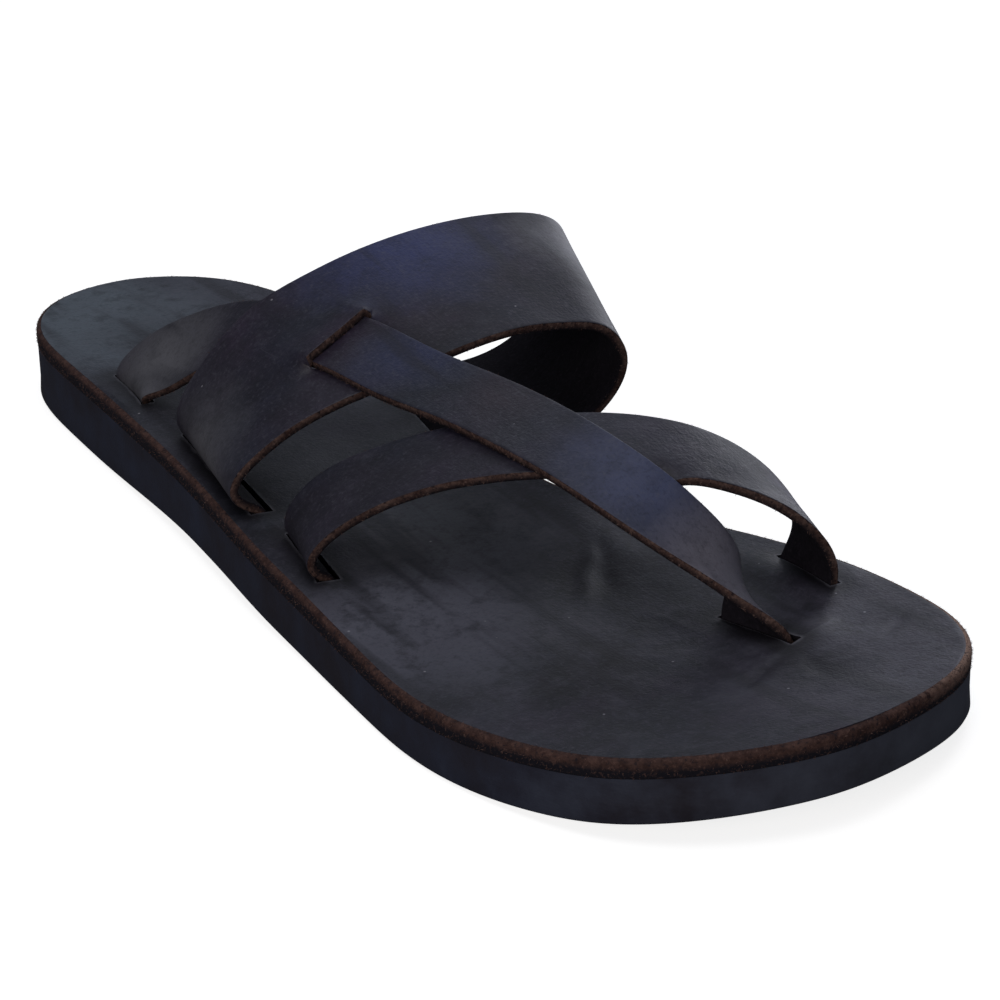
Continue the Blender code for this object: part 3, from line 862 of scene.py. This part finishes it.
# %% Mould the footbed round its slots
MOULDING = [      # side, heel, reach across, reach along, rise
    (24.5, 236, 4, 5.5, 0.9), (11.5, 228, 3.5, 6, 0.4), (13, 246, 7, 5.5, -0.55), (34.8, 216, 4.2, 7.5, 1.7),
    (45.5, 223, 3, 5, 0.5), (-31, 71, 3.5, 8, 0.5), (-26.5, 84, 4, 5, 0.7), (-35.5, 145.5, 3.5, 3.5, 0.6),
    (-39, 174, 2.5, 4, 0.5), (6, 190, 6.5, 13, -0.8), (17.5, 181, 2.6, 10, 0.55), (-22, 165, 7, 10, -0.3),
    (0, 226, 16, 14, -0.35), (-8, 48, 16, 26, -0.4),
]
CREASES = [      # from side, heel, to side, heel, reach, rise
    (13.8, 224.5, 15.9, 231.5, 0.6, 0.4), (15.9, 231.5, 17.2, 240, 0.6, 0.35),
    (17.6, 241, -2.7, 248, 0.8, 0.22), (15.5, 242.5, -1, 252, 1.1, -0.25),
    (13.6, 241, 5, 241.5, 0.9, 0.2), (18, 241.5, 31.6, 237, 0.8, 0.25),
    (19, 243, 14, 257, 1.4, -0.2), (-6.1, 244.3, -18.5, 247, 1.6, 0.15),
    (7.5, 213.3, 8.7, 225.8, 0.5, 0.18), (-3.6, 186.3, 3, 182.6, 0.7, 0.2),
    (14.5, 184, -2, 206, 1.6, 0.4), (19, 180, 6, 203, 1.4, -0.35),
    (-24, 142, -8, 150, 1, -0.2), (32, 250, 41, 244, 1.3, -0.18),
]
CREASE_TAIL = 1.5      # how far a crease runs out past its two ends


def moulding(side, heel):
    """Swells and hollows by the slots and under the foot, creases, and the unevenness of a hand-cut sole."""
    flat = np.stack((side, heel, np.zeros_like(side)), axis=-1)
    rise = np.zeros(np.shape(side))
    for at_side, at_heel, across, along, height in MOULDING:
        rise += height * np.exp(-(((side - at_side) / across) ** 2 + ((heel - at_heel) / along) ** 2) / 2)
    bend = waves(flat, 9 / MM, 0.9 / MM, 4)
    for side_0, heel_0, side_1, heel_1, reach, height in CREASES:
        way = np.array((side_1 - side_0, heel_1 - heel_0))
        length = np.hypot(*way)
        onward = ((side - side_0) * way[0] + (heel - heel_0) * way[1]) / length
        beside = ((side - side_0) * way[1] - (heel - heel_0) * way[0]) / length + bend * min(1, length / 10)
        ends = ease(onward, -CREASE_TAIL, length * 0.25) * ease(onward, length + CREASE_TAIL, length * 0.75)
        rise += height * ends * np.exp(-(beside / reach) ** 2)
    return rise + waves(flat, 28 / MM, 0.35 / MM, 2) + waves(flat, 9 / MM, 0.1 / MM, 8)


footbed = slab("leather_footbed", [
    (0.15, footbed_under), (0.0, lifted(footbed_under, 0.3)), (0.0, lifted(footbed_top, -1.1)),
    (0.12, lifted(footbed_top, -0.6)), (0.45, lifted(footbed_top, -0.2)), (1.1, footbed_top),
], 460, (12, 110), moulding, [footbed_grain, sole_edge, flesh_side])
print("faces of the footbed:", len(footbed.data.polygons))

# %% [markdown]
# ## The outsole
# The rubber is cut a hair inside the leather and bulges by a quarter of a millimetre between its two edges.
# Its underside has a shallow recess, as deep as the tread, so that the studs stand in it and not below it.

# %% The rubber slab
TREAD = 1.0      # the tread's depth, mm
RECESS_RIM = RUBBER_INSET + 6.0

outsole = slab("rubber_outsole", [
    (RECESS_RIM + 0.6, lifted(outsole_under, TREAD)), (RECESS_RIM, outsole_under),
    (RUBBER_INSET + 0.5, outsole_under), (RUBBER_INSET, lifted(outsole_under, 0.2)),
    (RUBBER_INSET - 0.25, lifted(outsole_under, 0.7)), (RUBBER_INSET, lifted(outsole_under, 4.0)),
    (RUBBER_INSET, lifted(footbed_under, -GLUE)),
], 240, (24, 24), lambda side, heel: 0 * side, [rubber])
outsole.data.polygons.foreach_set("material_index", np.zeros(len(outsole.data.polygons), np.int32))
print("faces of the outsole:", len(outsole.data.polygons))

# %% [markdown]
# ## Slots
# A strap's end goes down through a slot in the leather and lies in a recess in the rubber, where the glue
# holds it. Both are cut by a Boolean whose cutters are closed ribbons along the straps' own ends, fatter than
# the straps by a little air, and by more where the pull of the strap has opened the slot.

# %% Cut the slots
STRAP_ENDS = [
    # rows; how much of its near and far end is buried; then for each slot: longer in front, longer behind,
    # and the air on the strap's flesh side
    (INSTEP_BAND, 22.5, 23.5, (0.7, 0.3, 1.1), (0.4, 0.4, 0.3)),
    (BALL_STRAP, 17.0, 15.5, (0.8, 0.3, 1.0), (0.5, 0.8, 0.4)),
    (TOE_STRAP, 18.5, 14.4, (0.5, 0.3, 0.5), (2.3, 0.7, 0.3)),
]
GRAIN_AIR, PAST_END = 0.3, 0.5      # air on a strap's grain side, and beyond its end
RINGS, COLUMNS = 18, 5              # of points, along a cutter and across it


def slot_cutter(rows, start, end, front, rear, flesh_air):
    """A closed ribbon round one end of a strap."""
    along = np.linspace(start, end, RINGS)
    shares = np.tile(np.linspace(-1, 1, COLUMNS), (RINGS, 1))
    half = strap_curve(rows)[1](along)[:, 5:6] / 2
    wide = lay_strap(rows, along, shares + np.where(shares < 0, -front, rear) / half * np.abs(shares))
    out = outward_of(wide) * MM
    grain, flesh = wide + out * (STRAP_THICK / 2 + GRAIN_AIR), wide - out * (STRAP_THICK / 2 + flesh_air)
    ring = np.concatenate((grain, flesh[:, ::-1]), axis=1)
    count = 2 * COLUMNS
    faces = [(i + j, i + (j + 1) % count, i + count + (j + 1) % count, i + count + j)
             for i in range(0, (RINGS - 1) * count, count) for j in range(count)]
    for first in (0, (RINGS - 1) * count):
        last = first + count - 1
        faces += [(first + k, first + k + 1, last - k - 1, last - k) for k in range(COLUMNS - 1)]
    cutter = new_piece("slot_cutter", ring.reshape(-1, 3), faces, [flesh_side])
    face_out(cutter)
    return cutter


cutters = []
for rows, near_end, far_end, near_room, far_room in STRAP_ENDS:
    length = strap_curve(rows)[0]
    cutters.append(slot_cutter(rows, -PAST_END, near_end, *near_room))
    cutters.append(slot_cutter(rows, length - far_end, length + PAST_END, *far_room))

for piece in (footbed, outsole):
    for cutter in cutters:
        step = piece.modifiers.new("slot", "BOOLEAN")
        step.operation = "DIFFERENCE"
        step.solver = "EXACT"
        step.object = cutter
    settle_modifiers(piece, 40)
for cutter in cutters:
    bpy.data.objects.remove(cutter)

# %% [markdown]
# The footbed's points keep two numbers for its materials: how deep they lie below the grain side, and how far
# they are from the nearest wall of a slot, which the dark halo of grime and painted shade and the pale rims
# with their painted highlight follow.

# %% Depth, and distance from the slots
SKIN = 0.4      # points this near the underside belong to it, not to a slot's wall

places = corner_places(footbed)
below = footbed_top(BACK_Y - places[:, 1] / MM) - places[:, 2] / MM
walls = {v for face in footbed.data.polygons if face.material_index == UNDER for v in face.vertices}
walls = [v for v in walls if below[v] < FOOTBED_THICK - SKIN]
slot_walls = KDTree(len(walls))
for v in walls:
    slot_walls.insert(places[v], v)
slot_walls.balance()
keep_number(footbed, "below_grain", below)
keep_number(footbed, "from_slot", np.array([slot_walls.find(place)[2] for place in places]) / MM)
print("points on slot walls:", len(walls))

# %% [markdown]
# ## Tread and fibres
# Two things repeat by the hundred, so Geometry Nodes lays them. The tread is a field of small hexagonal studs
# in staggered rows, kept only where a ray from below meets the recess in the rubber. The fibres are the fuzz
# of a knife cut, short hairs scattered over the cut edges, thin enough to be seen only as a rough outline.

# %% Node groups
def new_group(name, settings):
    """An empty geometry group with its named inputs, each a name, a kind and a value."""
    group = bpy.data.node_groups.new(name, "GeometryNodeTree")
    group.interface.new_socket("Geometry", in_out="INPUT", socket_type="NodeSocketGeometry")
    for title, kind, value in settings:
        socket = group.interface.new_socket(title, in_out="INPUT", socket_type=kind)
        socket.default_value = value
    group.interface.new_socket("Geometry", in_out="OUTPUT", socket_type="NodeSocketGeometry")
    return group, group.nodes.new("NodeGroupInput").outputs, group.nodes.new("NodeGroupOutput")


def finish_group(tree, instances, material, end):
    """Turns the instances into real faces in one material, because an export drops instances."""
    real = add_node(tree, "GeometryNodeRealizeInstances", {"Geometry": instances})
    fill(tree, end, {0: add_node(tree, "GeometryNodeSetMaterial", {"Geometry": real, "Material": material})})


def run_group(group, source, name, settings):
    """Runs a group on a copy of the source, and keeps the result as a mesh of its own."""
    grown = bpy.data.objects.new(name, source.data.copy())
    bpy.context.scene.collection.objects.link(grown)
    step = grown.modifiers.new("grow", "NODES")
    step.node_group = group
    sockets = {item.name: item.identifier for item in group.interface.items_tree if item.in_out == "INPUT"}
    for title, value in settings.items():
        step[sockets[title]] = value
    shape = grown.evaluated_get(bpy.context.evaluated_depsgraph_get())
    mesh = bpy.data.meshes.new_from_object(shape)
    grown.modifiers.remove(step)
    grown.data = mesh
    mesh.name = name
    return grown


# %% [markdown]
# The tread starts as a flat grid of points under the sole, every other row moved half a pitch aside. A ray
# goes up from each point, and where it hits the recess a stud is set, its root sunk into the rubber. Small
# hexagons are a usual pattern of rubber sheet for soles. One tree with a few named sizes makes them all.

# %% Tread of studs
STUD_ROWS, STUDS_ACROSS = 64, 30
ROW_STEP = 0.87                     # between rows, in pitches, as in a honeycomb
STUD_TALL, STUD_SUNK = 1.28, 0.34   # a stud's height, and how far down its middle sits, in tread depths

studs, into, end = new_group("tread_studs", (
    ("Pitch", "NodeSocketFloat", 5 * MM), ("Stud radius", "NodeSocketFloat", 2 * MM),
    ("Depth", "NodeSocketFloat", 1 * MM)))
wide, long, stagger, tall, sunk = (
    add_node(studs, "ShaderNodeMath", {0: into[measure], 1: times}, operation="MULTIPLY")
    for measure, times in (
        ("Pitch", STUDS_ACROSS - 1.0), ("Pitch", ROW_STEP * (STUD_ROWS - 1)), ("Pitch", 0.5),
        ("Depth", STUD_TALL), ("Depth", -STUD_SUNK)))
grid = add_node(studs, "GeometryNodeMeshGrid", {
    "Size X": wide, "Size Y": long, "Vertices X": STUDS_ACROSS, "Vertices Y": STUD_ROWS})
number = add_node(studs, "GeometryNodeInputIndex")
odd = add_node(studs, "ShaderNodeMath", {0: number, 1: 2.0}, operation="MODULO")
aside = add_node(studs, "ShaderNodeMath", {0: odd, 1: stagger}, operation="MULTIPLY")
start = add_node(studs, "ShaderNodeCombineXYZ", {"X": aside, "Z": -20 * MM})
below = add_node(studs, "GeometryNodeSetPosition", {"Geometry": grid, "Offset": start})
ray = add_node(studs, "GeometryNodeRaycast", {
    "Target Geometry": into["Geometry"], "Ray Direction": (0.0, 0.0, 1.0), "Ray Length": 50 * MM})
missed = add_node(studs, "FunctionNodeBooleanMath", {0: ray.outputs["Is Hit"]}, operation="NOT")
kept = add_node(studs, "GeometryNodeDeleteGeometry", {"Geometry": below, "Selection": missed})
placed = add_node(studs, "GeometryNodeSetPosition", {
    "Geometry": kept, "Position": ray.outputs["Hit Position"],
    "Offset": add_node(studs, "ShaderNodeCombineXYZ", {"Z": sunk})})
hexagon = add_node(studs, "GeometryNodeMeshCylinder", {
    "Vertices": 6, "Radius": into["Stud radius"], "Depth": tall})
field = add_node(studs, "GeometryNodeInstanceOnPoints", {"Points": placed, "Instance": hexagon})
finish_group(studs, field, rubber, end)

HALF = 80      # points on half of the field's rim, which lies 3 mm inside the recess's
side, heel = rim_points(math.pi * np.arange(2 * HALF) / HALF, RECESS_RIM + 3.0)
strips = [(i, i + 1, 2 * HALF - 1 - i, 2 * HALF - i) for i in range(1, HALF - 1)]
recess = new_piece("recess", in_frame(side, heel, outsole_under(heel) + TREAD),
                   [(0, 1, 2 * HALF - 1), *strips, (HALF - 1, HALF, HALF + 1)], [])
tread = run_group(studs, recess, "rubber_tread", {
    "Pitch": 5 * MM, "Stud radius": 2.1 * MM, "Depth": TREAD * MM})
bpy.data.objects.remove(recess)
print("studs:", len(tread.data.vertices) // 12)

# %% [markdown]
# The fibres stand on the cut edges only, which the edge material's place among the piece's materials picks
# out. Each is a cone of three sides, leaning any way, and its size varies by a fixed seed.

# %% Fibres on the cut edges
fuzz, into, end = new_group("cut_fibres", (
    ("Edge material", "NodeSocketInt", EDGE_PLACE), ("Fibres per square metre", "NodeSocketFloat", 1e6),
    ("Length", "NodeSocketFloat", 0.5 * MM), ("Thickness", "NodeSocketFloat", 0.1 * MM),
    ("Seed", "NodeSocketInt", 7)))
which = add_node(fuzz, "GeometryNodeInputMaterialIndex")
cut = add_node(fuzz, "FunctionNodeCompare", {
    "A": which, "B": into["Edge material"]}, data_type="INT", operation="EQUAL")
roots = add_node(fuzz, "GeometryNodeDistributePointsOnFaces", {
    "Mesh": into["Geometry"], "Selection": cut, "Density": into["Fibres per square metre"],
    "Seed": into["Seed"]})
lean = add_node(fuzz, "FunctionNodeRandomValue", {
    "Min": (-1.1, -1.1, 0.0), "Max": (1.1, 1.1, 6.0), "Seed": 3}, data_type="FLOAT_VECTOR")
lean = add_node(fuzz, "FunctionNodeEulerToRotation", {"Euler": lean})
turned = add_node(fuzz, "FunctionNodeRotateRotation", {
    "Rotation": roots.outputs["Rotation"], "Rotate By": lean}, rotation_space="LOCAL")
grow = add_node(fuzz, "FunctionNodeRandomValue", {"Min": 0.4, "Max": 1.4, "Seed": 5}, data_type="FLOAT")
radius = add_node(fuzz, "ShaderNodeMath", {0: into["Thickness"], 1: 0.5}, operation="MULTIPLY")
hair = add_node(fuzz, "GeometryNodeMeshCone", {
    "Vertices": 3, "Radius Top": 0.0, "Radius Bottom": radius, "Depth": into["Length"]})
hairs = add_node(fuzz, "GeometryNodeInstanceOnPoints", {
    "Points": roots.outputs["Points"], "Instance": hair, "Rotation": turned,
    "Scale": next(out for out in grow.outputs if out.enabled)})
finish_group(fuzz, hairs, loose_fibre, end)

edge_fibres = [
    (run_group(fuzz, piece, piece.name + "_fibres", {
        "Edge material": edge, "Fibres per square metre": 2e6, "Length": 0.45 * MM, "Thickness": 0.09 * MM,
        "Seed": seed}), node)
    for seed, (piece, edge, node) in enumerate((
        (instep_band, EDGE_PLACE, "upper"), (ball_strap, EDGE_PLACE, "upper"),
        (toe_strap, EDGE_PLACE, "upper"), (footbed, EDGE, "footbed")))]
print("fibres:", [len(piece.data.vertices) // 4 for piece, node in edge_fibres])

# %% [markdown]
# ## Riding on the model
# A sandal has no joint, so every piece rides on the one body. Each stands for the CAD solid that it replaces,
# which is hidden. The three finished straps stand for the CAD's one upper.

for piece, node in (
        (outsole, "outsole"), (footbed, "footbed"), (instep_band, "upper"), (ball_strap, "upper"),
        (toe_strap, "upper"), (tread, "outsole"), *edge_fibres):
    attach(piece, "root")
    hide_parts(node)
    print(piece.name, "stands for", node)

# %% [markdown]
# ## Floor and light
# A catalogue cut-out: white paper, a large soft light overhead, and a cooler one behind that gives the
# leather its sheen, as a window would. Dark goods on white paper would be lit from below by the paper and
# look washed out. In a studio that light is flagged off with black card; here the paper is simply kept out
# of what the leather sees. Seen from below, the paper is clear, so that the underside can be looked at.

# %% Paper
floor = new_piece("studio_floor", [(-9, -9, 0), (9, -9, 0), (9, 9, 0), (-9, 9, 0)], [(0, 1, 2, 3)], [])
paper = bpy.data.materials.new("white_paper")
paper.use_nodes = True
tree = paper.node_tree
white = tree.nodes["Principled BSDF"]
fill(tree, white, {
    "Base Color": linear("#d8d8d8"), "Roughness": 0.9, "Emission Color": linear("#ffffff"),
    "Emission Strength": 0.8})
faced = add_node(tree, "ShaderNodeMixShader", {
    0: add_node(tree, "ShaderNodeNewGeometry").outputs["Backfacing"], 1: white,
    2: add_node(tree, "ShaderNodeBsdfTransparent")})
fill(tree, tree.nodes["Material Output"], {"Surface": faced})
floor.data.materials.append(paper)
floor.location.z = -0.2 * MM
floor.visible_diffuse = False
floor.visible_glossy = False
print("floor:", floor.name)

# %% [markdown]
# Beside the overhead light and the window, a low light from behind the inner side draws the rim along the
# bends, and a broad one in front fills the shadows.

# %% Lights
def soft_light(name, place, aim, size, power, colour):
    """A rectangle of light: its place, the point it faces, its sides in metres, and its power in watts."""
    light = bpy.data.objects.new(name, bpy.data.lights.new(name, "AREA"))
    light.data.shape = "RECTANGLE"
    light.data.size, light.data.size_y = size
    light.data.energy = power
    light.data.color = linear(colour)[:3]
    light.location = place
    light.rotation_euler = (Vector(aim) - light.location).to_track_quat("-Z", "Y").to_euler()
    bpy.context.scene.collection.objects.link(light)


soft_light("overhead_light", (-0.1, -0.1, 1.3), (0, 0, 0), (1.0, 1.0), 4, "#ffffff")
soft_light("window_light", (0.8, 1.1, 1.1), (0, 0, 0), (0.9, 0.9), 1.8, "#e6ecff")
soft_light("rim_light", (1.25, 0.9, 0.25), (0, 0, 0.03), (0.4, 0.9), 3, "#f2f4ff")
soft_light("fill_light", (-1.2, -0.9, 0.55), (0, 0, 0), (1.0, 0.8), 7.5, "#fff6ee")

# %% [markdown]
# The room is grey, a little darker below the horizon, and the leather's sheen is mostly its reflection. Where
# the view looks past the paper, the room is white instead, so that the sandal always stands on white.

# %% Room
ROOM = ((-0.12, "#4c4c50"), (0.08, "#54575e"), (0.75, "#5c6068"))     # how far up one looks, colour there

world = bpy.data.worlds.new("studio")
bpy.context.scene.world = world
world.use_nodes = True
sky = world.node_tree
toward = add_node(sky, "ShaderNodeTexCoord").outputs["Generated"]
rise = add_node(sky, "ShaderNodeSeparateXYZ", {"Vector": toward}).outputs["Z"]
along_ramp = add_node(sky, "ShaderNodeMapRange", {"Value": rise, "From Min": -1.0})
ramp = add_node(sky, "ShaderNodeValToRGB", {"Fac": along_ramp})
ramp.color_ramp.elements.new(1.0)
for stop, (height, colour) in zip(ramp.color_ramp.elements, ROOM):
    stop.position = (height + 1) / 2
    stop.color = linear(colour)
room_light = sky.nodes["Background"]
fill(sky, room_light, {"Color": ramp})
seen = add_node(sky, "ShaderNodeMixShader", {
    0: add_node(sky, "ShaderNodeLightPath").outputs["Is Camera Ray"], 1: room_light,
    2: add_node(sky, "ShaderNodeBackground", {"Color": linear("#ffffff")})})
fill(sky, sky.nodes["World Output"], {"Surface": seen})
bpy.context.scene.view_settings.view_transform = "Standard"
print("room colours:", [colour for height, colour in ROOM])

# %% [markdown]
# ## Finish
# The scene is brought up to date. The size with all the pieces in place is written beside the CAD's, and
# they should differ by half a millimetre or so.

# %% Finish
bpy.context.view_layer.update()
